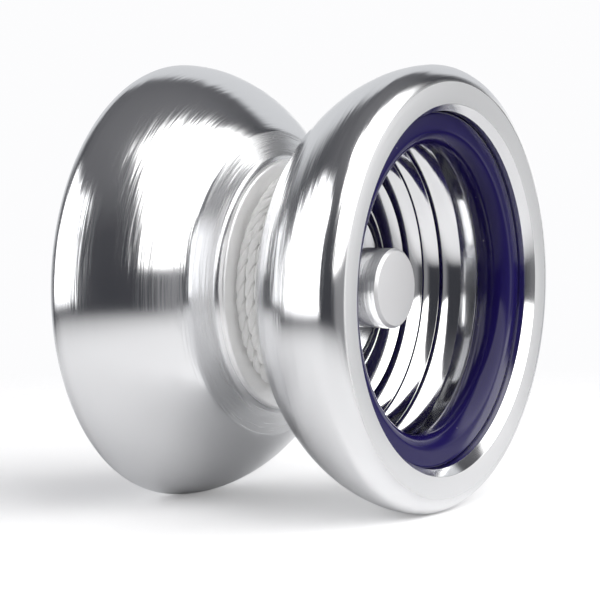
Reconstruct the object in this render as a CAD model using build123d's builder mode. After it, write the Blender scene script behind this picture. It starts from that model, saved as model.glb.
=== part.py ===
"""Yo yo: two turned aluminium halves on a threaded axle, a ball bearing between them, and a string."""

import os
from math import atan2, cos, degrees, pi, radians, sin, sqrt, tan

from build123d import *

# ---------------------------------------------------------------- driving dimensions, mm
# The axle lies along Y, and the origin is the middle of the object. The front half is on the
# -Y side, and the back half mirrors it. In every section below, "out" is the distance from the
# middle plane, and "r" is the distance from the axle line.

FRONT = -1
BACK = 1

outer_radius = 27.5          # rim, 55 mm across
half_width = 20.58           # middle plane to rim face, 41.2 mm over both halves
gap_half = 2.15              # half of the string gap
crown_out = 18.1             # where the flank reaches the rim's radius

# rim face, bevel and ring seat
face_outer_radius = 25.43
face_inner_radius = 22.70
bevel_out = 19.53
seat_radius = 21.86
seat_out = 13.75
shoulder_pull = 1.15         # roundness of the shoulder between crown and rim face

# string gap and flank
lip_radius = 15.75
lip_round = 0.35
lip_flat_end = 2.75
neck_round = 0.8             # concave turn from the lip to the flank
neck_angle = 70.0            # slope of the short cone above the neck
dome_start = (4.80, 19.85)   # (out, r)
dome_start_angle = 51.6
dome_start_pull = 9.2
dome_end_pull = 1.4

# cup floor: cusps on a quarter ellipse, with scallops turned between them
bowl_out = 3.0
bowl_depth = 7.6
bowl_inner_radius = 7.0
bowl_rise = 13.3
cusp_step = 14.4             # degrees between cusps on the ellipse
first_cusp = 2
last_cusp = 5
wall_cusp = (10.5, 21.4)     # (out, r) of the last cusp, where the plain wall starts
wall_radius = 21.5
# the hollows from the wall in to the boss: how far each leans into the metal at its outer and inner
# end, in degrees, and its pull at each end as a part of its straight length
hollow_shapes = [
    ((14, 27), (0.34, 0.35)),
    ((13, 33), (0.34, 0.30)),
    ((20, 20), (0.28, 0.48)),
    ((13, 13), (0.34, 0.34)),
    ((20, 20), (0.34, 0.34)),
]
boss_radius = 10.4
boss_out = 4.6

# nub in the middle of the cup
nub_radius = 4.95
nub_out = 12.99
nub_chamfer = 0.35
nub_foot = 0.3

# bearing, size C: 12.7 x 6.35 x 4.76
bearing_half_width = 2.381
bearing_bore = 3.175
bearing_outer = 6.35
bearing_edge = 0.2
ball_radius = 0.992
ball_circle = 4.7625
ball_count = 8
race_play = 0.02             # ball to groove
inner_land = 4.2
outer_land = 5.3
shield_step_out = 1.75       # step in the outer race that the shield rests on
shield_step_radius = 5.75
shield_inner = 4.32
shield_thickness = 0.2
snap_ring_inner = 5.35
snap_ring_thickness = 0.25
cage_inner = 4.45
cage_outer = 5.08
cage_thickness = 0.18
cage_parting = 0.01          # middle plane to each ribbon

# bearing post and pocket in each half
post_radius = 3.155
post_out = 0.15
post_edge = 0.15
seat_play = 0.02
seat_face_radius = 4.1
pocket_out = 2.72
pocket_radius = 6.65

# response pads
pad_inner = 7.25
pad_outer = 9.55
pad_depth = 1.1
pad_recess = 0.05
pad_play = 0.05

# axle, a set screw M4 x 20
axle_radius = 2.0
axle_half_length = 10.0
axle_chamfer = 0.4
front_bore_play = 0.05       # the front half unscrews from the axle
bore_end = 10.6
bore_tip = 0.9
hex_across_flats = 2.0
hex_depth = 2.5

# ring pressed into the cup, with a round bead that faces the axle
bead_radius = 1.96
bead_centre_radius = 19.78
round_pull = 0.5523          # pull that turns a Bezier's quarter into an ellipse's
ring_play = 0.01
ring_corner = 0.45

# string
string_diameter = 1.35
coil_inner = 7.75
coil_outer = 13.75
coil_half_width = 1.95
coil_edge = 0.5
tail_play = 0.03
tail_start_angle = 80.0      # degrees above the level of the axle
knot_top = -4.5
knot_bottom = -7.15
knot_radius = 1.5
knot_top_radius = 0.75
knot_bottom_radius = 1.45
# finger loop below the knot, (sideways from the knot's centre line, height)
finger_loop_route = [
    (-0.75, -7.5),
    (-2.9, -11.0),
    (-4.5, -14.6),
    (-4.3, -18.1),
    (-1.9, -20.7),
    (1.8, -20.6),
    (4.4, -18.0),
    (4.6, -14.4),
    (3.1, -10.9),
    (0.75, -7.5),
]

bead_centre_out = seat_out + bead_radius
ring_front_out = bead_centre_out + bead_radius
tail_radius = coil_outer + string_diameter / 2 + tail_play


def at(side, out, r):
    """A point of a section in the XY plane: r along X, and out along Y on its side."""
    return (r, side * out)


def polar(centre, radius, angle):
    """(out, r) of a point on a circle, with the angle in degrees from the out direction."""
    return (centre[0] + radius * cos(radians(angle)), centre[1] + radius * sin(radians(angle)))


def bowl_cusp(k):
    """(out, r) of cusp k on the quarter ellipse of the cup."""
    angle = radians(k * cusp_step)
    return (bowl_out + bowl_depth * (1 - cos(angle)), bowl_inner_radius + bowl_rise * sin(angle))


def hollow_curve(side, outer, inner, leans, pulls):
    """One hollow of the cup floor, a smooth curve between two cusps given as (out, r)."""
    run = (inner[0] - outer[0], inner[1] - outer[1])
    heading = degrees(atan2(run[1], run[0]))
    length = sqrt(run[0] ** 2 + run[1] ** 2)
    Bezier(
        at(side, *outer),
        at(side, *polar(outer, pulls[0] * length, heading - leans[0])),
        at(side, *polar(inner, -pulls[1] * length, heading + leans[1])),
        at(side, *inner),
    )


def save(piece, name):
    """Label a finished piece and write its STEP file."""
    piece.part.label = name
    export_step(piece.part, f"parts/{name}.step")


def make_half(name, side, bore_radius):
    """One turned half: its whole section, revolved about the axle line."""
    pad_floor = gap_half + pad_depth
    lip_centre = (gap_half + lip_round, lip_radius - lip_round)
    neck_centre = (lip_flat_end, lip_radius + neck_round)
    start = radians(dome_start_angle)
    dome_pull = (dome_start[0] + dome_start_pull * cos(start), dome_start[1] + dome_start_pull * sin(start))
    boss_cusp = (boss_out, boss_radius)
    cusps = [wall_cusp] + [bowl_cusp(k) for k in range(last_cusp, first_cusp - 1, -1)] + [boss_cusp]
    with BuildPart() as half:
        with BuildSketch(Plane.XY):
            with BuildLine():
                # threaded bore, bearing post, seat and pocket, pad groove, gap wall
                Polyline(
                    at(side, nub_out, 0),
                    at(side, bore_end + bore_tip, 0),
                    at(side, bore_end, bore_radius),
                    at(side, post_out, bore_radius),
                    at(side, post_out, post_radius - post_edge),
                    at(side, post_out + post_edge, post_radius),
                    at(side, bearing_half_width + seat_play, post_radius),
                    at(side, bearing_half_width + seat_play, seat_face_radius),
                    at(side, pocket_out, seat_face_radius),
                    at(side, pocket_out, pocket_radius),
                    at(side, gap_half, pocket_radius),
                    at(side, gap_half, pad_inner - pad_play),
                    at(side, pad_floor, pad_inner - pad_play),
                    at(side, pad_floor, pad_outer + pad_play),
                    at(side, gap_half, pad_outer + pad_play),
                    at(side, gap_half, lip_radius - lip_round),
                )
                # rounded lip, concave neck and short cone
                ThreePointArc(
                    at(side, gap_half, lip_radius - lip_round),
                    at(side, *polar(lip_centre, lip_round, 135)),
                    at(side, gap_half + lip_round, lip_radius),
                )
                Line(at(side, gap_half + lip_round, lip_radius), at(side, lip_flat_end, lip_radius))
                ThreePointArc(
                    at(side, lip_flat_end, lip_radius),
                    at(side, *polar(neck_centre, neck_round, neck_angle / 2 - 90)),
                    at(side, *polar(neck_centre, neck_round, neck_angle - 90)),
                )
                Line(at(side, *polar(neck_centre, neck_round, neck_angle - 90)), at(side, *dome_start))
                # dome, and rounded shoulder down to the rim face
                Bezier(
                    at(side, *dome_start),
                    at(side, *dome_pull),
                    at(side, crown_out - dome_end_pull, outer_radius),
                    at(side, crown_out, outer_radius),
                )
                Bezier(
                    at(side, crown_out, outer_radius),
                    at(side, crown_out + shoulder_pull, outer_radius),
                    at(side, half_width, face_outer_radius + shoulder_pull),
                    at(side, half_width, face_outer_radius),
                )
                # rim face, bevel, ring seat, and the plain wall behind the ring
                Polyline(
                    at(side, half_width, face_outer_radius),
                    at(side, half_width, face_inner_radius),
                    at(side, bevel_out, seat_radius),
                    at(side, seat_out, seat_radius),
                    at(side, seat_out, wall_radius),
                    at(side, *wall_cusp),
                )
                # scallops of the cup floor, from the wall in to the boss
                for outer, inner, (leans, pulls) in zip(cusps, cusps[1:], hollow_shapes):
                    hollow_curve(side, outer, inner, leans, pulls)
                # boss and nub
                Polyline(
                    at(side, *boss_cusp),
                    at(side, boss_out, nub_radius + nub_foot),
                    at(side, boss_out + nub_foot, nub_radius),
                    at(side, nub_out - nub_chamfer, nub_radius),
                    at(side, nub_out, nub_radius - nub_chamfer),
                    at(side, nub_out, 0),
                )
            make_face()
        revolve(axis=Axis.Y)
    save(half, name)


def make_ring(name, side):
    """The ring in the cup: flat back, rounded front corner, and a half-round bead inside."""
    seat = seat_radius - ring_play
    corner_centre = (ring_front_out - ring_corner, seat - ring_corner)
    limb_radius = bead_centre_radius - bead_radius
    with BuildPart() as ring:
        with BuildSketch(Plane.XY):
            with BuildLine():
                Polyline(
                    at(side, seat_out, bead_centre_radius),
                    at(side, seat_out, seat),
                    at(side, ring_front_out - ring_corner, seat),
                )
                ThreePointArc(
                    at(side, ring_front_out - ring_corner, seat),
                    at(side, *polar(corner_centre, ring_corner, 45)),
                    at(side, ring_front_out, seat - ring_corner),
                )
                Line(
                    at(side, ring_front_out, seat - ring_corner),
                    at(side, ring_front_out, bead_centre_radius),
                )
                ThreePointArc(
                    at(side, ring_front_out, bead_centre_radius),
                    at(side, *polar((bead_centre_out, bead_centre_radius), bead_radius, -45)),
                    at(side, bead_centre_out, limb_radius),
                )
                Bezier(
                    at(side, bead_centre_out, limb_radius),
                    at(side, bead_centre_out - (bead_centre_out - seat_out) * round_pull, limb_radius),
                    at(side, seat_out, bead_centre_radius - bead_radius * round_pull),
                    at(side, seat_out, bead_centre_radius),
                )
            make_face()
        revolve(axis=Axis.Y)
    save(ring, name)


def make_pad(name, side):
    """A response pad, a flat band of silicone in its groove."""
    near = gap_half + pad_recess
    far = gap_half + pad_depth
    with BuildPart() as pad:
        with BuildSketch(Plane.XY):
            with Locations(at(side, (near + far) / 2, (pad_inner + pad_outer) / 2)):
                Rectangle(pad_outer - pad_inner, far - near)
        revolve(axis=Axis.Y)
    save(pad, name)


def make_axle():
    """The set screw that joins the halves, with chamfered ends and a hexagon socket at the front."""
    with BuildPart() as axle:
        with BuildSketch(Plane.XZ):
            Circle(axle_radius)
        extrude(amount=axle_half_length, both=True)
        chamfer(axle.edges().filter_by(GeomType.CIRCLE), length=axle_chamfer)
        with BuildSketch(Plane.XZ.offset(axle_half_length)):
            RegularPolygon(hex_across_flats / 2, 6, major_radius=False)
        extrude(amount=-hex_depth, mode=Mode.SUBTRACT)
    save(axle, "axle")


def make_inner_race():
    """Inner race, with a ball groove round its outside."""
    groove = ball_radius + race_play
    half_mouth = sqrt(groove**2 - (ball_circle - inner_land) ** 2)
    with BuildPart() as race:
        with BuildSketch(Plane.XY):
            with BuildLine():
                Polyline(
                    (inner_land, half_mouth),
                    (inner_land, bearing_half_width),
                    (bearing_bore, bearing_half_width),
                    (bearing_bore, -bearing_half_width),
                    (inner_land, -bearing_half_width),
                    (inner_land, -half_mouth),
                )
                ThreePointArc((inner_land, -half_mouth), (ball_circle - groove, 0), (inner_land, half_mouth))
            make_face()
        revolve(axis=Axis.Y)
    save(race, "bearing_inner_race")


def make_outer_race():
    """Outer race, with a ball groove inside and a step at each end for a shield and its snap ring."""
    groove = ball_radius + race_play
    half_mouth = sqrt(groove**2 - (outer_land - ball_circle) ** 2)
    with BuildPart() as race:
        with BuildSketch(Plane.XY):
            with BuildLine():
                Polyline(
                    (outer_land, half_mouth),
                    (outer_land, shield_step_out),
                    (shield_step_radius, shield_step_out),
                    (shield_step_radius, bearing_half_width),
                    (bearing_outer - bearing_edge, bearing_half_width),
                    (bearing_outer, bearing_half_width - bearing_edge),
                    (bearing_outer, -bearing_half_width + bearing_edge),
                    (bearing_outer - bearing_edge, -bearing_half_width),
                    (shield_step_radius, -bearing_half_width),
                    (shield_step_radius, -shield_step_out),
                    (outer_land, -shield_step_out),
                    (outer_land, -half_mouth),
                )
                ThreePointArc(
                    (outer_land, -half_mouth),
                    (ball_circle + groove, 0),
                    (outer_land, half_mouth),
                )
            make_face()
        revolve(axis=Axis.Y)
    save(race, "bearing_outer_race")


def make_balls():
    """The bearing's balls, as separate solids evenly spaced round the races."""
    with BuildPart(Plane.XZ) as balls:
        with PolarLocations(ball_circle, ball_count):
            Sphere(ball_radius)
    save(balls, "bearing_balls")


def make_cage(name, side):
    """One ribbon of the ball cage: a thin flat ring that domes over each ball."""
    pocket = ball_radius + 0.05
    crest = pocket + cage_thickness
    middle_radius = (cage_inner + cage_outer) / 2
    with BuildPart(Plane.XZ) as cage:
        with BuildSketch(Plane.XY):
            with Locations(at(side, cage_parting + cage_thickness / 2, middle_radius)):
                Rectangle(cage_outer - cage_inner, cage_thickness)
        revolve(axis=Axis.Y)
        with PolarLocations(ball_circle, ball_count):
            Sphere(crest)
        with PolarLocations(ball_circle, ball_count):
            Sphere(pocket, mode=Mode.SUBTRACT)
        with BuildSketch(Plane.XY):
            with Locations(at(side, cage_parting + crest / 2, middle_radius)):
                Rectangle(cage_outer - cage_inner, crest)
        revolve(axis=Axis.Y, mode=Mode.INTERSECT)
    save(cage, name)


def make_shield(name, side):
    """A thin shield that covers the balls, on the outer race's step."""
    middle_radius = (shield_inner + shield_step_radius) / 2
    with BuildPart() as shield:
        with BuildSketch(Plane.XY):
            with Locations(at(side, shield_step_out + shield_thickness / 2, middle_radius)):
                Rectangle(shield_step_radius - shield_inner, shield_thickness)
        revolve(axis=Axis.Y)
    save(shield, name)


def make_snap_ring(name, side):
    """The open wire ring that holds a shield, with a gap between its ends."""
    gap_width = 1.4
    near = shield_step_out + shield_thickness
    middle_radius = (snap_ring_inner + shield_step_radius) / 2
    with BuildPart() as ring:
        with BuildSketch(Plane.XY):
            with Locations(at(side, near + snap_ring_thickness / 2, middle_radius)):
                Rectangle(shield_step_radius - snap_ring_inner, snap_ring_thickness)
        revolve(axis=Axis.Y)
        with BuildSketch(Plane.XZ.offset(-side * near)):
            with Locations((0, shield_step_radius)):
                Rectangle(gap_width, shield_step_radius - snap_ring_inner + 1)
        extrude(amount=-side * snap_ring_thickness, mode=Mode.SUBTRACT)
    save(ring, name)


def make_bearing_loop():
    """The string's first turn, looped round the bearing's outer race."""
    with BuildPart() as loop:
        with BuildSketch(Plane.XY):
            with Locations((coil_inner - string_diameter / 2, 0)):
                Circle(string_diameter / 2)
        revolve(axis=Axis.Y)
    save(loop, "string_bearing_loop")


def make_coil():
    """The outer shape of the wound string, with rounded edges where the turns meet the gap walls."""
    with BuildPart() as coil:
        with BuildSketch(Plane.XY):
            with Locations(((coil_inner + coil_outer) / 2, 0)):
                RectangleRounded(coil_outer - coil_inner, 2 * coil_half_width, coil_edge)
        revolve(axis=Axis.Y)
    save(coil, "string_coil")


def sweep_string(route, radii):
    """A tube of the string's diameter along straight runs joined by tangent arcs, in the XZ plane."""
    with BuildPart() as tube:
        with BuildLine(Plane.XZ) as path:
            FilletPolyline(*route, radius=radii)
        with BuildSketch(Plane(origin=path.line @ 0, z_dir=path.line % 0)):
            Circle(string_diameter / 2)
        sweep()
    length = path.wires()[0].length
    volume_ratio = tube.part.volume / (length * pi * string_diameter**2 / 4)
    print("string: length", round(length, 2), "volume over section times length", round(volume_ratio, 4))
    return tube


def make_tail():
    """The end of the string: over the top of the coil, then straight down to the knot."""
    turn = tail_start_angle
    reach = tail_radius * tan(radians(turn / 2))
    corner = (tail_radius, reach)
    lead = reach + string_diameter / 4
    start = (corner[0] - lead * sin(radians(turn)), corner[1] + lead * cos(radians(turn)))
    tail = sweep_string([start, corner, (tail_radius, knot_top)], [tail_radius])
    save(tail, "string_tail")


def make_knot():
    """The overhand knot that closes the finger loop, a small barrel."""
    with BuildPart() as knot:
        with BuildSketch(Plane.XZ):
            with BuildLine():
                Polyline(
                    (tail_radius + knot_bottom_radius, knot_bottom),
                    (tail_radius, knot_bottom),
                    (tail_radius, knot_top),
                    (tail_radius + knot_top_radius, knot_top),
                )
                ThreePointArc(
                    (tail_radius + knot_top_radius, knot_top),
                    (tail_radius + knot_radius, (knot_top + knot_bottom) / 2),
                    (tail_radius + knot_bottom_radius, knot_bottom),
                )
            make_face()
        revolve(axis=Axis((tail_radius, 0, 0), (0, 0, 1)))
    save(knot, "string_knot")


def make_finger_loop():
    """The loop for the finger, hanging below the knot in the string gap."""
    points = [Vector(tail_radius + x, z) for x, z in finger_loop_route]
    runs = [after - before for before, after in zip(points, points[1:])]
    radii = []
    for before, after in zip(runs, runs[1:]):
        half_turn = radians(before.get_angle(after)) / 2
        radii.append(0.45 * min(before.length, after.length) / tan(half_turn))
    print("finger loop radii", [round(radius, 2) for radius in radii])
    loop = sweep_string([(point.X, point.Y) for point in points], radii)
    save(loop, "string_finger_loop")


os.makedirs("parts", exist_ok=True)
make_half("front_half", FRONT, axle_radius + front_bore_play)
make_half("back_half", BACK, axle_radius)
for place, side in (("front", FRONT), ("back", BACK)):
    make_ring(f"{place}_ring", side)
    make_pad(f"{place}_pad", side)
    make_cage(f"cage_{place}", side)
    make_shield(f"{place}_shield", side)
    make_snap_ring(f"{place}_snap_ring", side)
make_axle()
make_inner_race()
make_outer_race()
make_balls()
make_bearing_loop()
make_coil()
make_tail()
make_knot()
make_finger_loop()
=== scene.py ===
"""Looks of the yo yo: turned halves, blue rings, bearing, axle, wound string, studio and camera."""

import math
import random

import bpy
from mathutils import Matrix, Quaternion, Vector, noise

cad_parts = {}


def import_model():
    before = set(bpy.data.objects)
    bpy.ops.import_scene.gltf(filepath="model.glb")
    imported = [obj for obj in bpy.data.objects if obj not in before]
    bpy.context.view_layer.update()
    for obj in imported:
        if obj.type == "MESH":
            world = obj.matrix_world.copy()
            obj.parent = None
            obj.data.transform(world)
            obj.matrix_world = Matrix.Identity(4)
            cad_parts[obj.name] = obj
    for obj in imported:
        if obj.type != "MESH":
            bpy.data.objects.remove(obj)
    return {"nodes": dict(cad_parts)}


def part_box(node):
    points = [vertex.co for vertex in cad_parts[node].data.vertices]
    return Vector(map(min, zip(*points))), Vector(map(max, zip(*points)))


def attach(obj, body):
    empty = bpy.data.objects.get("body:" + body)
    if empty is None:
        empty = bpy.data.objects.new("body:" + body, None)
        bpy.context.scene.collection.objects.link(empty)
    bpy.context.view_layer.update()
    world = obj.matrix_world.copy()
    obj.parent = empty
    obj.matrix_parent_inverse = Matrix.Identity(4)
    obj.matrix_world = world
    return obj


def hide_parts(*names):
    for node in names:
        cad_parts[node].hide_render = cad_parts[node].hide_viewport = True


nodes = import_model()["nodes"]
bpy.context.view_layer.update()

MM = 0.001
FRONT = -1
BACK = 1
RINGS_ROUND = 288            # faces round a turned piece


# ---------------------------------------------------------------- camera
CAMERA_AZIMUTH = -58.75
CAMERA_ELEVATION = 4.782
CAMERA_ROLL = -0.4008
CAMERA_DISTANCE = 383.434 * MM
CAMERA_TARGET = Vector((0.0, 0.910 * MM, -1.944 * MM))
CAMERA_LENS = 183.35


def add_camera():
    azimuth = math.radians(CAMERA_AZIMUTH)
    elevation = math.radians(CAMERA_ELEVATION)
    back = Vector((
        math.sin(azimuth) * math.cos(elevation),
        -math.cos(azimuth) * math.cos(elevation),
        math.sin(elevation),
    ))
    data = bpy.data.cameras.new("camera")
    data.lens = CAMERA_LENS
    data.sensor_width = 36.0
    data.clip_start = 0.01
    data.clip_end = 20.0
    camera = bpy.data.objects.new("camera", data)
    camera.location = CAMERA_TARGET + back * CAMERA_DISTANCE
    camera.rotation_mode = "QUATERNION"
    turn = (-back).to_track_quat("-Z", "Y")
    turn.rotate(Quaternion(back, math.radians(CAMERA_ROLL)))
    camera.rotation_quaternion = turn
    bpy.context.collection.objects.link(camera)
    bpy.context.scene.camera = camera


# ---------------------------------------------------------------- node helpers
class Nodes:
    """A short way to build a node tree."""

    def __init__(self, tree):
        self.tree = tree
        tree.nodes.clear()

    def add(self, kind, values=None, **settings):
        node = self.tree.nodes.new(kind)
        for key, value in settings.items():
            setattr(node, key, value)
        for key, value in (values or {}).items():
            socket = node.inputs[key]
            if isinstance(value, bpy.types.NodeSocket):
                self.tree.links.new(value, socket)
            else:
                socket.default_value = value
        return node

    def math(self, operation, *values, clamp=False):
        node = self.add("ShaderNodeMath", dict(enumerate(values)), operation=operation, use_clamp=clamp)
        return node.outputs[0]

    def vector(self, operation, *values):
        node = self.add("ShaderNodeVectorMath", dict(enumerate(values)), operation=operation)
        return node.outputs["Value" if operation in ("DOT_PRODUCT", "LENGTH") else "Vector"]

    def step(self, value, low, high):
        """0 below low, 1 above high, and smooth between them."""
        node = self.add(
            "ShaderNodeMapRange",
            {"Value": value, "From Min": low, "From Max": high},
            interpolation_type="SMOOTHSTEP",
        )
        return node.outputs[0]

    def mix(self, factor, a, b):
        node = self.add("ShaderNodeMix", data_type="RGBA")
        for index, value in ((0, factor), (6, a), (7, b)):
            if isinstance(value, bpy.types.NodeSocket):
                self.tree.links.new(value, node.inputs[index])
            else:
                node.inputs[index].default_value = value
        return node.outputs[2]

    def noise(self, coordinate, scale, detail=2.0, roughness=0.5, one_way=False):
        """Noise from -0.5 to 0.5, of a point or, one_way, of a number."""
        key = "W" if one_way else "Vector"
        node = self.add(
            "ShaderNodeTexNoise",
            {key: coordinate, "Scale": scale, "Detail": detail, "Roughness": roughness},
            noise_dimensions="1D" if one_way else "3D",
        )
        return self.math("SUBTRACT", node.outputs[0], 0.5)


def new_material(name):
    material = bpy.data.materials.new(name)
    material.use_nodes = True
    return material, Nodes(material.node_tree)


def finish_material(n, **values):
    """Adds the surface shader with these inputs."""
    inputs = {key.replace("_", " "): value for key, value in values.items()}
    shader = n.add("ShaderNodeBsdfPrincipled", inputs)
    output = n.add("ShaderNodeOutputMaterial")
    n.tree.links.new(shader.outputs[0], output.inputs["Surface"])


# ---------------------------------------------------------------- studio
def direction(azimuth, elevation):
    a = math.radians(azimuth)
    e = math.radians(elevation)
    return Vector((math.cos(a) * math.cos(e), math.sin(a) * math.cos(e), math.sin(e)))


# Soft panels round the object. Each has its corners as (azimuth, elevation) from +X, the softness of its
# bottom, right, top and left edges, and its light.
PANELS = [
    ([(-128, -12), (-34, -12), (-34, 10), (-128, 10)], (0.02, 0.10, 0.04, 0.22), (0.26, 0.26, 0.27, 1)),
    ([(-52, -12), (-30, -12), (-30, 5), (-52, 5)], (0.02, 0.06, 0.08, 0.16), (1.0, 1.0, 1.0, 1)),
    ([(-20, -14), (78, -14), (76, 34), (-17, 34)], (0.02, 0.26, 0.06, 0.09), (0.70, 0.71, 0.73, 1)),
    ([(-22, -3), (46, -3), (46, 6), (-22, 6)], (0.05, 0.20, 0.07, 0.07), (1.15, 1.15, 1.15, 1)),
    ([(99, -6), (163, -8), (164, 40), (104, 41)], (0.06, 0.05, 0.05, 0.06), (2.3, 2.3, 2.32, 1)),
    ([(-134, 8), (-38, 0), (-43, 66), (-152, 72)], (0.035, 0.11, 0.08, 0.05), (2.9, 2.88, 2.86, 1)),
]


def add_world():
    world = bpy.data.worlds.new("studio")
    bpy.context.scene.world = world
    world.use_nodes = True
    n = Nodes(world.node_tree)
    ray = n.add("ShaderNodeTexCoord").outputs["Generated"]
    height = n.add("ShaderNodeSeparateXYZ", {"Vector": ray}).outputs["Z"]

    def panel(corners, softness):
        """1 inside a flat panel seen from the object, 0 outside."""
        inside = 1.0
        for start, end, soft in zip(corners, corners[1:] + corners[:1], softness):
            edge = direction(*start).cross(direction(*end)).normalized()
            inside = n.math("MULTIPLY", inside, n.step(n.vector("DOT_PRODUCT", ray, edge[:]), -soft, soft))
        return inside

    # the dark room behind the camera, lighter towards the ceiling
    light = n.mix(n.step(height, 0.4, 1.0), (0.046, 0.047, 0.055, 1), (0.16, 0.16, 0.17, 1))
    for corners, softness, color in PANELS:
        light = n.mix(panel(corners, softness), light, color)
    # what the camera itself sees is plain white
    path = n.add("ShaderNodeLightPath")
    light = n.mix(path.outputs["Is Camera Ray"], light, (0.975, 0.975, 0.985, 1))
    background = n.add("ShaderNodeBackground", {"Color": light})
    output = n.add("ShaderNodeOutputWorld")
    n.tree.links.new(background.outputs[0], output.inputs["Surface"])


FLOOR_RADIUS = 0.165
FLOOR_FADE = 0.11
FLOOR_GLOW = 0.22            # lifts the white that the camera itself sees


def add_floor():
    """A round pale table top, whose edge fades out."""
    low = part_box("front_half")[0][2]
    count = 96
    points = [(
        FLOOR_RADIUS * math.cos(2 * math.pi * i / count),
        FLOOR_RADIUS * math.sin(2 * math.pi * i / count),
        low,
    ) for i in range(count)]
    mesh = bpy.data.meshes.new("floor")
    mesh.from_pydata(points, [], [tuple(range(count))])
    floor = bpy.data.objects.new("floor", mesh)
    bpy.context.collection.objects.link(floor)
    material, n = new_material("pale_table")
    path = n.add("ShaderNodeLightPath")
    table = n.add("ShaderNodeBsdfPrincipled", {
        "Base Color": (0.88, 0.88, 0.885, 1), "Roughness": 0.7, "Specular IOR Level": 0.2,
        "Emission Color": (1.0, 1.0, 1.0, 1),
        "Emission Strength": n.math("MULTIPLY", path.outputs["Is Camera Ray"], FLOOR_GLOW),
    })
    place = n.add("ShaderNodeTexCoord").outputs["Object"]
    middle = n.vector("MULTIPLY", place, (1, 1, 0))
    edge = n.step(n.vector("LENGTH", middle), FLOOR_RADIUS - FLOOR_FADE, FLOOR_RADIUS)
    clear = n.add("ShaderNodeBsdfTransparent")
    mixed = n.add("ShaderNodeMixShader", {0: edge, 1: table.outputs[0], 2: clear.outputs[0]})
    output = n.add("ShaderNodeOutputMaterial")
    n.tree.links.new(mixed.outputs[0], output.inputs["Surface"])
    mesh.materials.append(material)


bpy.context.scene.view_settings.view_transform = "Standard"
add_camera()
add_world()
add_floor()

# ---------------------------------------------------------------- turned sections
# "out" is the distance from the middle plane and "r" the distance from the axle line, in mm.


def curve_points(p0, p1, p2, p3, count):
    """Points of a cubic Bezier curve, its start left out."""
    points = []
    for i in range(1, count + 1):
        t = i / count
        s = 1 - t
        weights = (s ** 3, 3 * s * s * t, 3 * s * t * t, t ** 3)
        points.append(tuple(sum(w * p[k] for w, p in zip(weights, (p0, p1, p2, p3))) for k in (0, 1)))
    return points


def arc_points(centre, radius, start, end, count):
    """Points of an arc, with its angles in degrees from the out direction, its start left out."""
    points = []
    for i in range(1, count + 1):
        angle = math.radians(start + (end - start) * i / count)
        points.append((centre[0] + radius * math.cos(angle), centre[1] + radius * math.sin(angle)))
    return points


def hollow_points(start, end, leans, pulls, count):
    """Points of a hollow between two cusps, its start left out. At each end the hollow leans into the
    metal by an angle in degrees from the straight line, and pulls are parts of that line's length."""
    start, end = Vector(start), Vector(end)
    along = (end - start).normalized()
    into = Vector((along.y, -along.x))
    length = (end - start).length
    first, last = (math.radians(lean) for lean in leans)
    p1 = start + (along * math.cos(first) + into * math.sin(first)) * length * pulls[0]
    p2 = end - (along * math.cos(last) - into * math.sin(last)) * length * pulls[1]
    return curve_points(start, p1, p2, end, count)


CORNER_TURN = math.radians(12)


def eased(points, radius, closed=False, steps=4):
    """The same outline with each corner of more than CORNER_TURN rounded, as far as its sides allow."""
    count = len(points)
    result = []
    for i, point in enumerate(points):
        here = Vector(point[:2])
        if not closed and i in (0, count - 1):
            result.append(point)
            continue
        before = Vector(points[i - 1][:2]) - here
        after = Vector(points[(i + 1) % count][:2]) - here
        turn = math.pi - before.angle(after)
        if turn < CORNER_TURN:
            result.append(point)
            continue
        reach = min(radius * math.tan(turn / 2), 0.4 * before.length, 0.4 * after.length)
        start = here + before.normalized() * reach
        end = here + after.normalized() * reach
        for k in range(steps + 1):
            t = k / steps
            bent = start * (1 - t) ** 2 + here * 2 * t * (1 - t) + end * t ** 2
            result.append((bent.x, bent.y) + tuple(point[2:]))
    return result


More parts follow.
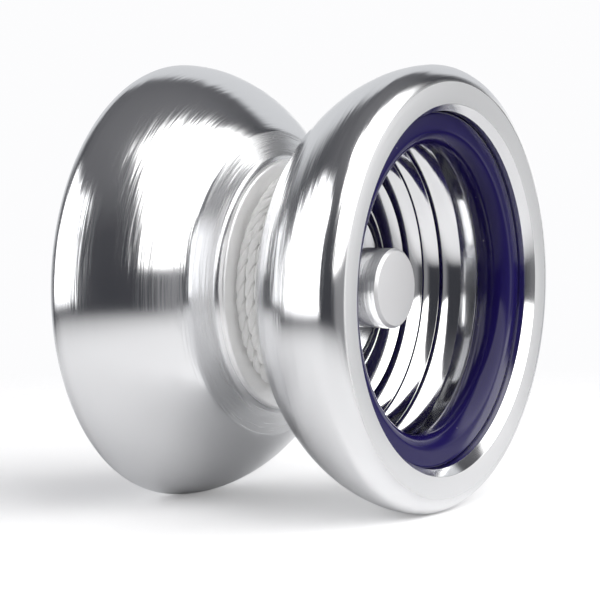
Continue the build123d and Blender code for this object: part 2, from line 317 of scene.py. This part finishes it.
def turned(name, outline, side, materials, closed=False, segments=RINGS_ROUND):
    """A mesh revolved about the axle line from (out, r, material index) points, with exact smooth normals.
    Its "run" attribute is the distance along the outline, in mm."""
    count = len(outline)
    runs = [0.0]
    for a, b in zip(outline, outline[1:]):
        runs.append(runs[-1] + math.dist(a[:2], b[:2]))
    slopes = []
    for i in range(count):
        if closed:
            a, b, c = outline[i - 1], outline[i], outline[(i + 1) % count]
        else:
            a, b, c = outline[max(i - 1, 0)], outline[i], outline[min(i + 1, count - 1)]
        first = Vector((b[0] - a[0], b[1] - a[1]))
        second = Vector((c[0] - b[0], c[1] - b[1]))
        slope = Vector((0, 0))
        for part in (first, second):
            if part.length > 1e-9:
                slope += part.normalized()
        slopes.append(slope.normalized())
    vertices, normals, run_values = [], [], []
    rows = []
    for i, point in enumerate(outline):
        out, r = point[0], point[1]
        if r < 1e-6:
            rows.append([len(vertices)])
            vertices.append((0.0, side * out * MM, 0.0))
            normals.append((0.0, side * 1.0, 0.0))
            run_values.append(runs[i])
            continue
        row = []
        for k in range(segments):
            angle = 2 * math.pi * k / segments
            row.append(len(vertices))
            vertices.append((r * MM * math.cos(angle), side * out * MM, r * MM * math.sin(angle)))
            # going along the outline, the material is on the right and the surface faces left
            n_out, n_r = -slopes[i].y, slopes[i].x
            normals.append((n_r * math.cos(angle), side * n_out, n_r * math.sin(angle)))
            run_values.append(runs[i])
        rows.append(row)
    faces, face_materials = [], []
    pairs = list(zip(range(count - 1), range(1, count)))
    if closed:
        pairs.append((count - 1, 0))
    for i, j in pairs:
        a, b = rows[i], rows[j]
        for k in range(segments):
            m = (k + 1) % segments
            if len(a) == 1 and len(b) == 1:
                break
            if len(a) == 1:
                face = (a[0], b[m], b[k])
            elif len(b) == 1:
                face = (a[k], a[m], b[0])
            else:
                face = (a[k], a[m], b[m], b[k])
            faces.append(face if side < 0 else face[::-1])
            face_materials.append(outline[i][2] if len(outline[i]) > 2 else 0)
    mesh = bpy.data.meshes.new(name)
    mesh.from_pydata(vertices, [], faces)
    mesh.polygons.foreach_set("material_index", face_materials)
    mesh.polygons.foreach_set("use_smooth", [True] * len(faces))
    attribute = mesh.attributes.new("run", "FLOAT", "POINT")
    attribute.data.foreach_set("value", run_values)
    for material in materials:
        mesh.materials.append(material)
    mesh.update()
    mesh.normals_split_custom_set_from_vertices(normals)
    return link(name, mesh)


def link(name, mesh):
    piece = bpy.data.objects.new(name, mesh)
    bpy.context.collection.objects.link(piece)
    return piece


# ---------------------------------------------------------------- sizes of the turned parts, mm
NODE_HIGH = Vector(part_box("back_half")[1]) / MM
OUTER_RADIUS = NODE_HIGH.x
HALF_WIDTH = NODE_HIGH.y
GAP_HALF = 2.15
CROWN_OUT = 18.1
FACE_OUTER_RADIUS = 25.43
FACE_INNER_RADIUS = 22.70
BEVEL_OUT = 19.53
SEAT_RADIUS = 21.86
SEAT_OUT = 13.75
SHOULDER_PULL = 1.15
LIP_RADIUS = 15.75
LIP_ROUND = 0.35
LIP_FLAT_END = 2.75
NECK_ROUND = 0.8
NECK_ANGLE = 70.0
DOME_START = (4.80, 19.85)
DOME_START_ANGLE = 51.6
DOME_START_PULL = 9.2
DOME_END_PULL = 1.4
DOME_BLEND = 0.7             # the polished corner above the cone
BOWL_OUT = 3.0
BOWL_DEPTH = 7.6
BOWL_INNER_RADIUS = 7.0
BOWL_RISE = 13.3
CUSP_STEP = 14.4
WALL_CUSP = (10.5, 21.4)
WALL_RADIUS = 21.5
BOSS_RADIUS = 10.4
BOSS_OUT = 4.6
# the hollows of the cup from the wall in to the boss: lean in degrees and pull at each end
HOLLOWS = [
    ((14, 27), (0.34, 0.35)),
    ((13, 33), (0.34, 0.30)),
    ((20, 20), (0.28, 0.48)),
    ((13, 13), (0.34, 0.34)),
    ((20, 20), (0.34, 0.34)),
]
NUB_RADIUS = 4.95
NUB_OUT = 12.99
NUB_CHAMFER = 0.35
NUB_FOOT = 0.3
POST_RADIUS = 3.155
POST_OUT = 0.15
POST_EDGE = 0.15
SEAT_FACE_OUT = 2.401
SEAT_FACE_RADIUS = 4.1
POCKET_OUT = 2.72
POCKET_RADIUS = 6.65
PAD_INNER = 7.25
PAD_OUTER = 9.55
PAD_FLOOR = 3.25
PAD_PLAY = 0.05
BORE_END = 10.6
BORE_TIP = 0.9
EDGE = 0.06                  # rounding of the turned edges

GAP, FLANK, RIM, BEVEL, CUP, NUB_SIDE, NUB_FACE, NECK = range(8)


def bowl_cusp(k):
    angle = math.radians(k * CUSP_STEP)
    return (
        BOWL_OUT + BOWL_DEPTH * (1 - math.cos(angle)),
        BOWL_INNER_RADIUS + BOWL_RISE * math.sin(angle),
    )


def zone(points, index):
    return [tuple(point[:2]) + (index,) for point in points]


def half_outline(bore_radius):
    """The section of one half, from the bore's tip round the outside to the middle of the nub."""
    lip_centre = (GAP_HALF + LIP_ROUND, LIP_RADIUS - LIP_ROUND)
    neck_centre = (LIP_FLAT_END, LIP_RADIUS + NECK_ROUND)
    start = math.radians(DOME_START_ANGLE)
    pull = (
        DOME_START[0] + DOME_START_PULL * math.cos(start),
        DOME_START[1] + DOME_START_PULL * math.sin(start),
    )
    crown = (CROWN_OUT, OUTER_RADIUS)
    outline = zone([
        (BORE_END + BORE_TIP, 0), (BORE_END, bore_radius), (POST_OUT, bore_radius),
        (POST_OUT, POST_RADIUS - POST_EDGE), (POST_OUT + POST_EDGE, POST_RADIUS),
        (SEAT_FACE_OUT, POST_RADIUS), (SEAT_FACE_OUT, SEAT_FACE_RADIUS), (POCKET_OUT, SEAT_FACE_RADIUS),
        (POCKET_OUT, POCKET_RADIUS), (GAP_HALF, POCKET_RADIUS),
        (GAP_HALF, PAD_INNER - PAD_PLAY), (PAD_FLOOR, PAD_INNER - PAD_PLAY),
        (PAD_FLOOR, PAD_OUTER + PAD_PLAY), (GAP_HALF, PAD_OUTER + PAD_PLAY),
        (GAP_HALF, LIP_RADIUS - LIP_ROUND),
    ], GAP)
    outline += zone(arc_points(lip_centre, LIP_ROUND, 180, 90, 10), GAP)
    outline += zone([(LIP_FLAT_END, LIP_RADIUS)], GAP)
    outline += zone(arc_points(neck_centre, NECK_ROUND, -90, NECK_ANGLE - 90, 14), NECK)
    corner, cone = Vector(DOME_START), Vector(outline[-1][:2])
    cone_end = corner + (cone - corner).normalized() * DOME_BLEND
    dome = curve_points(DOME_START, pull, (CROWN_OUT - DOME_END_PULL, OUTER_RADIUS), crown, 56)
    dome_end = Vector(dome[3])
    outline += zone([cone_end], FLANK)
    outline += zone(curve_points(
        cone_end, cone_end.lerp(corner, 0.6), dome_end.lerp(corner, 0.6), dome_end, 8), FLANK)
    outline += zone(dome[4:], FLANK)
    outline += zone(curve_points(
        crown, (CROWN_OUT + SHOULDER_PULL, OUTER_RADIUS),
        (HALF_WIDTH, FACE_OUTER_RADIUS + SHOULDER_PULL), (HALF_WIDTH, FACE_OUTER_RADIUS), 28), FLANK)
    outline[-1] = (HALF_WIDTH, FACE_OUTER_RADIUS, RIM)
    outline += zone([(HALF_WIDTH, FACE_INNER_RADIUS), (BEVEL_OUT, SEAT_RADIUS)], BEVEL)
    outline += zone([(SEAT_OUT, SEAT_RADIUS), (SEAT_OUT, WALL_RADIUS), WALL_CUSP], CUP)
    cusps = [WALL_CUSP] + [bowl_cusp(k) for k in (5, 4, 3, 2)] + [(BOSS_OUT, BOSS_RADIUS)]
    for a, b, (leans, pulls) in zip(cusps, cusps[1:], HOLLOWS):
        outline += zone(hollow_points(a, b, leans, pulls, 30), CUP)
    outline += zone([(BOSS_OUT, NUB_RADIUS + NUB_FOOT), (BOSS_OUT + NUB_FOOT, NUB_RADIUS)], NUB_SIDE)
    outline += zone([(NUB_OUT - NUB_CHAMFER, NUB_RADIUS), (NUB_OUT, NUB_RADIUS - NUB_CHAMFER)], NUB_FACE)
    outline += zone([(NUB_OUT, 0)], NUB_FACE)
    return eased(outline, EDGE)


# ---------------------------------------------------------------- metal
def turning_frame(n):
    """World directions on a turned surface: along the section, and the plain normal."""
    geometry = n.add("ShaderNodeNewGeometry")
    around = n.vector("NORMALIZE", n.vector("CROSS_PRODUCT", (0, 1, 0), geometry.outputs["Position"]))
    normal = geometry.outputs["Normal"]
    return n.vector("CROSS_PRODUCT", around, normal), normal


def turning_marks(n, across, along, detail=3.0):
    """Noise from -0.5 to 0.5, drawn out round the axle: its size across and along the marks, in mm."""
    run = n.add("ShaderNodeAttribute", attribute_name="run").outputs["Fac"]
    place = n.add("ShaderNodeTexCoord").outputs["Object"]
    parts = n.add("ShaderNodeSeparateXYZ", {"Vector": place})
    spread = 1 / (along * MM)
    point = n.add("ShaderNodeCombineXYZ", {
        "X": n.math("MULTIPLY", run, 1 / across),
        "Y": n.math("MULTIPLY", parts.outputs["X"], spread),
        "Z": n.math("MULTIPLY", parts.outputs["Z"], spread),
    }).outputs[0]
    return n.noise(point, 1.0, detail, 0.6)


def turned_metal(
    name, color, roughness, slope, across=0.35, along=18.0, stretch=0.5, wander=0.03, painted_glow=0.0,
):
    """Turned metal: a normal that leans with the marks by slope, and blur along the section. Its
    painted_glow is painted light: an emission that brightens the surface.
    """
    material, n = new_material(name)
    section, normal = turning_frame(n)
    fine = turning_marks(n, across, along)
    broad = turning_marks(n, across * 6, along * 2, 2.0)
    lean = n.math("MULTIPLY_ADD", fine, 2 * slope, n.math("MULTIPLY", broad, slope))
    leaned = n.add("ShaderNodeVectorMath", {0: section, "Scale": lean}, operation="SCALE").outputs["Vector"]
    bent = n.vector("NORMALIZE", n.vector("ADD", normal, leaned))
    rough = n.math("MULTIPLY_ADD", fine, wander, roughness)
    finish_material(
        n, Base_Color=color, Metallic=1.0, Roughness=rough, Anisotropic=stretch,
        Normal=bent, Tangent=section, Emission_Color=(1.0, 1.0, 1.0, 1), Emission_Strength=painted_glow,
    )
    return material


ALUMINIUM = (0.835, 0.84, 0.85, 1)
# painted light: the gap wall's aluminium is lighter than the rest, to make up for the shade between the
# halves
GAP_METAL_PAINTED_BRIGHT = (0.96, 0.96, 0.96, 1)
NUB_FACE_METAL = (0.70, 0.70, 0.71, 1)


def metals():
    flank = turned_metal("polished_flank", ALUMINIUM, 0.16, 0.17, across=0.2, along=9.0, stretch=0.6)
    # painted light: the gap wall glows a little, to lift the shade between the halves
    gap = turned_metal("turned_gap_wall_painted_glow", GAP_METAL_PAINTED_BRIGHT, 0.42, 0.12, across=0.2, stretch=0.5, painted_glow=0.06)
    rim = turned_metal("satin_rim_face", ALUMINIUM, 0.30, 0.03, stretch=0.3)
    bevel = turned_metal("bright_bevel", ALUMINIUM, 0.12, 0.03, stretch=0.3)
    cup = turned_metal("bright_cup", ALUMINIUM, 0.08, 0.02, stretch=0.3)
    side = turned_metal("turned_nub_side", ALUMINIUM, 0.2, 0.10, across=0.15, stretch=0.5)
    material, n = new_material("matte_nub_face")
    place = n.add("ShaderNodeTexCoord").outputs["Object"]
    grain = n.noise(place, 9000.0, 2.0)
    bump = n.add("ShaderNodeBump", {"Height": grain, "Strength": 0.25, "Distance": 0.00003}).outputs[0]
    finish_material(n, Base_Color=NUB_FACE_METAL, Metallic=1.0, Roughness=0.5, Normal=bump)
    neck = turned_metal("turned_neck", ALUMINIUM, 0.27, 0.22, across=0.15, along=8.0, stretch=0.6)
    return [gap, flank, rim, bevel, cup, side, material, neck]


def add_halves():
    materials = metals()
    for name, side, bore, body in (
        ("front_half", FRONT, 2.05, "spool_front"),
        ("back_half", BACK, 2.0, "spool_back"),
    ):
        piece = turned(f"{name}_turned", half_outline(bore), side, materials)
        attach(piece, body)
        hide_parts(name)


# ---------------------------------------------------------------- blue rings
BEAD_RADIUS = 1.96
BEAD_CENTRE_RADIUS = 19.78
BEAD_CENTRE_OUT = 16.76
RING_FRONT_OUT = 18.72
RING_CORNER = 0.45


def ring_material():
    material, n = new_material("blue_gloss_plastic")
    place = n.add("ShaderNodeTexCoord").outputs["Object"]
    cloud = n.noise(place, 180.0, 3.0)
    color = n.mix(n.math("ADD", cloud, 0.5), (0.007, 0.004, 0.052, 1), (0.010, 0.006, 0.070, 1))
    grain = n.noise(place, 2500.0, 3.0)
    rough = n.math("MULTIPLY_ADD", grain, 0.06, 0.14)
    bump = n.add("ShaderNodeBump", {"Height": grain, "Strength": 0.12, "Distance": 0.00002}).outputs[0]
    cells = n.add("ShaderNodeTexVoronoi", {"Vector": place, "Scale": 620.0})
    pick = n.add("ShaderNodeSeparateXYZ", {"Vector": cells.outputs["Color"]}).outputs["X"]
    speck = n.math("MULTIPLY", n.step(cells.outputs["Distance"], 0.05, 0.02), n.step(pick, 0.55, 0.6))
    color = n.mix(speck, color, (0.45, 0.45, 0.50, 1))
    finish_material(n, Base_Color=color, Roughness=rough, Specular_IOR_Level=0.2, Normal=bump)
    return material


def add_rings():
    material = ring_material()
    seat = SEAT_RADIUS - 0.01
    back_r = BEAD_CENTRE_RADIUS
    limb_r = BEAD_CENTRE_RADIUS - BEAD_RADIUS
    round_pull = 0.5523
    outline = [(SEAT_OUT, back_r), (SEAT_OUT, seat), (RING_FRONT_OUT - RING_CORNER, seat)]
    outline += arc_points((RING_FRONT_OUT - RING_CORNER, seat - RING_CORNER), RING_CORNER, 90, 0, 10)
    outline += [(RING_FRONT_OUT, back_r)]
    outline += arc_points((BEAD_CENTRE_OUT, back_r), BEAD_RADIUS, 0, -90, 24)
    outline += curve_points(
        (BEAD_CENTRE_OUT, limb_r), (BEAD_CENTRE_OUT - (BEAD_CENTRE_OUT - SEAT_OUT) * round_pull, limb_r),
        (SEAT_OUT, back_r - BEAD_RADIUS * round_pull), (SEAT_OUT, back_r), 28)[:-1]
    for name, side, body in (("front_ring", FRONT, "spool_front"), ("back_ring", BACK, "spool_back")):
        piece = turned(f"{name}_bead", eased(outline, EDGE, closed=True), side, [material], closed=True)
        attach(piece, body)
        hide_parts(name)


add_halves()
add_rings()

# ---------------------------------------------------------------- string, mm
STRING_DIAMETER = 1.35
TURNS_PER_LAYER = 3
LAYERS = 5
LANE = 1.3                   # between neighbouring turns
LAYER = 1.1625               # between layers
LOOP_RADIUS = 7.075          # centre line of the turn round the bearing
TAIL_RADIUS = 14.455
TAIL_HEIGHTS = (1.5, -2.0, -5.2)
POINTS_PER_TURN = 24
TWIST_PITCH = 4.6
PLY_CENTRE = 0.28            # from the string's line to the middle of a ply
PLY_DEPTH = 0.39             # half depth of a ply
PLY_WIDTH = 0.52             # half width of a ply
PLY_SWELL = 0.05
FIBRE_PITCH = 3.0            # turn of the fibres in a ply
COIL_START_ANGLE = 100.0     # degrees above +X
LANE_CHANGE = 0.82           # part of a turn after which the string moves to the next lane
WANDER_R = 0.03
WANDER_Y = 0.05
KNOT_TURNS = 2.3
KNOT_STEPS = 28              # points in each turn
KNOT_RADIUS = 0.86
KNOT_TOP = -5.05
KNOT_HEIGHT = 1.55
KNOT_SLANT = 0.18
KNOT_START = 0.6             # radians
KNOT_PITCH = 3.4
KNOT_SIZE = 0.82
STRING_SHADE = (0.92, 0.915, 0.90, 1)
STRING_WHITE = (0.98, 0.98, 0.97, 1)
STRING_BLOTCH = (0.96, 0.955, 0.94, 1)
FINGER_LOOP_ROUTE = [
    (-0.75, -7.5), (-2.9, -11.0), (-4.5, -14.6), (-4.3, -18.1), (-1.9, -20.7),
    (1.8, -20.6), (4.4, -18.0), (4.6, -14.4), (3.1, -10.9), (0.75, -7.5),
]


def ease(t):
    t = min(max(t, 0.0), 1.0)
    return t * t * (3 - 2 * t)


def coil_points():
    """Control points of the wound string: one turn on the bearing, then layers that go to and fro."""
    lanes = [(LOOP_RADIUS, 0.0)]
    first = LOOP_RADIUS + STRING_DIAMETER
    for layer in range(LAYERS):
        order = range(TURNS_PER_LAYER) if layer % 2 == 0 else reversed(range(TURNS_PER_LAYER))
        for lane in order:
            lanes.append((first + layer * LAYER, (lane - 1) * LANE))
    lanes.append((TAIL_RADIUS, 0.0))
    turns = len(lanes) - 1
    points = []
    total = turns * POINTS_PER_TURN + round(POINTS_PER_TURN * COIL_START_ANGLE / 360)
    generator = random.Random(7)
    for i in range(total + 1):
        t = i / POINTS_PER_TURN
        turn = min(int(t), turns)
        move = ease((t - turn - LANE_CHANGE) / (1 - LANE_CHANGE)) if turn < turns else 0.0
        r0, y0 = lanes[turn]
        r1, y1 = lanes[min(turn + 1, turns)]
        r = r0 + (r1 - r0) * move + generator.uniform(-WANDER_R, WANDER_R)
        y = y0 + (y1 - y0) * move + generator.uniform(-WANDER_Y, WANDER_Y)
        angle = math.radians(COIL_START_ANGLE) - 2 * math.pi * t
        spline_gain = 1 / math.cos(math.pi / POINTS_PER_TURN) ** 1.5
        points.append(Vector((r * spline_gain * math.cos(angle), y, r * spline_gain * math.sin(angle))))
    return points


def spline_line(points):
    """Points along the smooth NURBS line that has these control points, all in mm."""
    curve = bpy.data.curves.new("route", "CURVE")
    curve.dimensions = "3D"
    spline = curve.splines.new("NURBS")
    spline.points.add(len(points) - 1)
    for target, point in zip(spline.points, points):
        target.co = (*(point * MM), 1.0)
    spline.order_u = 3
    spline.use_endpoint_u = True
    spline.resolution_u = 12
    route = bpy.data.objects.new("route", curve)
    bpy.context.collection.objects.link(route)
    mesh = bpy.data.meshes.new_from_object(route)
    line = [vertex.co / MM for vertex in mesh.vertices]
    bpy.data.objects.remove(route)
    bpy.data.meshes.remove(mesh)
    return line


def twisted(name, line, material, pitch=TWIST_PITCH, size=1.0, sides=12):
    """Two plump plies twisted round a line, as one mesh. Its "fibre" attribute runs along the fibres."""
    tangents = []
    for i in range(len(line)):
        a = line[max(i - 1, 0)]
        b = line[min(i + 1, len(line) - 1)]
        tangents.append((b - a).normalized())
    side = tangents[0].orthogonal().normalized()
    vertices, faces, fibres = [], [], []
    frames, distance = [], 0.0
    for i, tangent in enumerate(tangents):
        if i:
            distance += (line[i] - line[i - 1]).length
        side = (side - tangent * side.dot(tangent)).normalized()
        frames.append((side.copy(), tangent.cross(side), distance))
    for ply in range(2):
        base = len(vertices)
        for i, (u, v, travelled) in enumerate(frames):
            phase = 2 * math.pi * (travelled / pitch + ply / 2)
            outward = u * math.cos(phase) + v * math.sin(phase)
            sideways = v * math.cos(phase) - u * math.sin(phase)
            swell = 1 + PLY_SWELL * noise.noise(Vector((travelled * 0.9, ply * 9.0, 2.0)))
            for k in range(sides):
                angle = 2 * math.pi * k / sides
                radial = size * swell * (PLY_CENTRE + PLY_DEPTH * math.cos(angle))
                wide = size * swell * PLY_WIDTH * math.sin(angle)
                vertices.append((line[i] + outward * radial + sideways * wide) * MM)
                spin = angle - 2 * math.pi * travelled / FIBRE_PITCH
                fibres.extend((travelled, math.cos(spin), math.sin(spin)))
        for i in range(len(frames) - 1):
            for k in range(sides):
                m = (k + 1) % sides
                a = base + i * sides
                faces.append((a + k, a + m, a + sides + m, a + sides + k))
        last = base + (len(frames) - 1) * sides
        faces.append(tuple(base + k for k in reversed(range(sides))))
        faces.append(tuple(last + k for k in range(sides)))
    mesh = bpy.data.meshes.new(name)
    mesh.from_pydata(vertices, [], faces)
    mesh.polygons.foreach_set("use_smooth", [True] * len(faces))
    attribute = mesh.attributes.new("fibre", "FLOAT_VECTOR", "POINT")
    attribute.data.foreach_set("vector", fibres)
    mesh.materials.append(material)
    mesh.update()
    return link(name, mesh)


def string_material():
    material, n = new_material("white_twisted_string_painted_glow")
    fibre = n.add("ShaderNodeAttribute", attribute_name="fibre").outputs["Vector"]
    strands = n.noise(n.vector("MULTIPLY", fibre, (0.8, 5.0, 5.0)), 1.0, 4.0, 0.6)
    blotch = n.noise(n.vector("MULTIPLY", fibre, (0.25, 0.5, 0.5)), 1.0, 2.0)
    strand_tone = n.math("MULTIPLY_ADD", strands, 1.2, 0.5, clamp=True)
    color = n.mix(strand_tone, STRING_SHADE, STRING_WHITE)
    color = n.mix(n.math("MULTIPLY_ADD", blotch, 0.5, 0.2, clamp=True), color, STRING_BLOTCH)
    bump = n.add("ShaderNodeBump", {"Height": strands, "Strength": 0.8, "Distance": 0.00015}).outputs[0]
    # painted light: the string glows a little (Emission Strength 0.05), which brightens it
    finish_material(
        n, Base_Color=color, Roughness=0.85, Sheen_Weight=0.25, Sheen_Roughness=0.4,
        Subsurface_Weight=0.2, Subsurface_Radius=(1.0, 1.0, 1.0), Subsurface_Scale=0.0004,
        Normal=bump, Emission_Color=(1.0, 1.0, 1.0, 1), Emission_Strength=0.05,
    )
    return material


def add_string():
    material = string_material()
    tail = [Vector((TAIL_RADIUS, 0.0, z)) for z in TAIL_HEIGHTS]
    line = spline_line(coil_points() + tail)
    string = twisted("wound_string", line, material)
    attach(string, "bearing_outer")
    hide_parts("string_bearing_loop", "string_coil", "string_tail")

    route = [Vector((TAIL_RADIUS + x, 0.0, z)) for x, z in FINGER_LOOP_ROUTE]
    start, end = route[0] + Vector((0.2, 0, 1.2)), route[-1] + Vector((-0.2, 0, 1.2))
    loop_line = spline_line([start] + route + [end])
    loop = twisted("finger_loop", loop_line, material)
    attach(loop, "bearing_outer")
    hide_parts("string_finger_loop")

    wrap = []
    for i in range(int(KNOT_TURNS * KNOT_STEPS) + 1):
        t = i / (KNOT_TURNS * KNOT_STEPS)
        angle = 2 * math.pi * KNOT_TURNS * t + KNOT_START
        wrap.append(Vector((
            TAIL_RADIUS + KNOT_RADIUS * math.cos(angle),
            KNOT_RADIUS * math.sin(angle),
            KNOT_TOP - KNOT_HEIGHT * t + KNOT_SLANT * math.sin(angle),
        )))
    knot = twisted("string_knot_wraps", spline_line(wrap), material, pitch=KNOT_PITCH, size=KNOT_SIZE)
    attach(knot, "bearing_outer")
    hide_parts("string_knot")


add_string()

# ---------------------------------------------------------------- axle
AXLE_RADIUS = 2.0
AXLE_HALF_LENGTH = 10.0
AXLE_CHAMFER = 0.4
THREAD_PITCH = 0.7
THREAD_DEPTH = 0.38
SOCKET_ACROSS = 2.0
SOCKET_DEPTH = 2.5


def steel(name, color, roughness, grain=0.06):
    """Ground steel, with fine marks that run round the axle."""
    material, n = new_material(name)
    place = n.add("ShaderNodeTexCoord").outputs["Object"]
    parts = n.add("ShaderNodeSeparateXYZ", {"Vector": place})
    radius = n.vector("LENGTH", n.vector("MULTIPLY", place, (1, 0, 1)))
    point = n.add("ShaderNodeCombineXYZ", {
        "X": n.math("MULTIPLY", radius, 1 / (0.06 * MM)),
        "Y": n.math("MULTIPLY", parts.outputs["Y"], 1 / (0.06 * MM)),
        "Z": n.math("MULTIPLY", parts.outputs["X"], 1 / (4 * MM)),
    }).outputs[0]
    marks = n.noise(point, 1.0, 3.0)
    cloud = n.noise(place, 400.0, 3.0)
    dark = tuple(0.8 * value for value in color[:3]) + (1,)
    tone = n.mix(n.math("MULTIPLY_ADD", cloud, 0.8, 0.5, clamp=True), color, dark)
    bump = n.add("ShaderNodeBump", {"Height": marks, "Strength": 0.2, "Distance": 0.00001}).outputs[0]
    rough = n.math("MULTIPLY_ADD", marks, grain, roughness)
    finish_material(n, Base_Color=tone, Metallic=1.0, Roughness=rough, Normal=bump)
    return material


def silicone():
    material, n = new_material("pale_silicone")
    place = n.add("ShaderNodeTexCoord").outputs["Object"]
    grain = n.noise(place, 5000.0, 3.0)
    cloud = n.noise(place, 250.0, 2.0)
    color = n.mix(n.math("ADD", cloud, 0.5), (0.80, 0.80, 0.78, 1), (0.70, 0.70, 0.68, 1))
    bump = n.add("ShaderNodeBump", {"Height": grain, "Strength": 0.3, "Distance": 0.00003}).outputs[0]
    rough = n.math("MULTIPLY_ADD", grain, 0.1, 0.55)
    finish_material(
        n, Base_Color=color, Roughness=rough, Subsurface_Weight=0.1,
        Subsurface_Radius=(1.0, 1.0, 1.0), Subsurface_Scale=0.0004, Normal=bump,
    )
    return material


def add_axle(material):
    """The set screw: a right-hand thread, chamfered ends and a hexagon socket in the front end."""
    sides, per_turn = 48, 8
    count = round(2 * AXLE_HALF_LENGTH / THREAD_PITCH * per_turn)
    rows = []
    for i in range(count + 1):
        y = -AXLE_HALF_LENGTH + 2 * AXLE_HALF_LENGTH * i / count
        most = AXLE_RADIUS - max(0.0, AXLE_CHAMFER - (AXLE_HALF_LENGTH - abs(y)))
        row = []
        for k in range(sides):
            phase = (y / THREAD_PITCH + k / sides) % 1.0
            groove = min(1.0, max(0.0, 1.25 - abs(phase - 0.5) * 2.5)) * THREAD_DEPTH
            row.append((min(most, AXLE_RADIUS - groove), y, 2 * math.pi * k / sides))
        rows.append(row)
    tip = AXLE_RADIUS - AXLE_CHAMFER
    across = SOCKET_ACROSS / 2
    hexagon = []
    for k in range(sides):
        angle = 2 * math.pi * k / sides
        off_flat = (angle + math.pi / 6) % (math.pi / 3) - math.pi / 6
        hexagon.append((across / math.cos(off_flat), angle))
    front = -AXLE_HALF_LENGTH
    rows.insert(0, [(min(r, tip), front, angle) for r, _, angle in rows[0]])
    rows.insert(0, [(r, front, angle) for r, angle in hexagon])
    rows.insert(0, [(r, front + SOCKET_DEPTH, angle) for r, angle in hexagon])
    vertices = [(r * MM * math.cos(a), y * MM, r * MM * math.sin(a)) for row in rows for r, y, a in row]
    faces = []
    for i in range(len(rows) - 1):
        for k in range(sides):
            m = (k + 1) % sides
            a, b = i * sides, (i + 1) * sides
            faces.append((a + k, b + k, b + m, a + m))
    last = (len(rows) - 1) * sides
    faces.append(tuple(range(sides)))
    faces.append(tuple(last + k for k in reversed(range(sides))))
    mesh = bpy.data.meshes.new("threaded_axle")
    mesh.from_pydata(vertices, [], faces)
    mesh.materials.append(material)
    mesh.update()
    piece = link("threaded_axle", mesh)
    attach(piece, "spool_back")
    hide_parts("axle")


def dress(material, *names):
    """Gives CAD nodes a material."""
    for name in names:
        mesh = nodes[name].data
        mesh.materials.clear()
        mesh.materials.append(material)


add_axle(steel("black_screw_steel", (0.16, 0.16, 0.17, 1), 0.38))
dress(steel("ground_bearing_steel", (0.62, 0.62, 0.63, 1), 0.16), "bearing_inner_race", "bearing_outer_race")
dress(steel("polished_balls", (0.68, 0.68, 0.70, 1), 0.05, 0.02), "bearing_balls")
dress(steel("pressed_cage", (0.55, 0.53, 0.48, 1), 0.3), "cage_front", "cage_back")
dress(steel("rolled_shield", (0.58, 0.58, 0.59, 1), 0.24), "front_shield", "back_shield")
dress(steel("spring_wire", (0.45, 0.45, 0.46, 1), 0.22), "front_snap_ring", "back_snap_ring")
dress(silicone(), "front_pad", "back_pad")
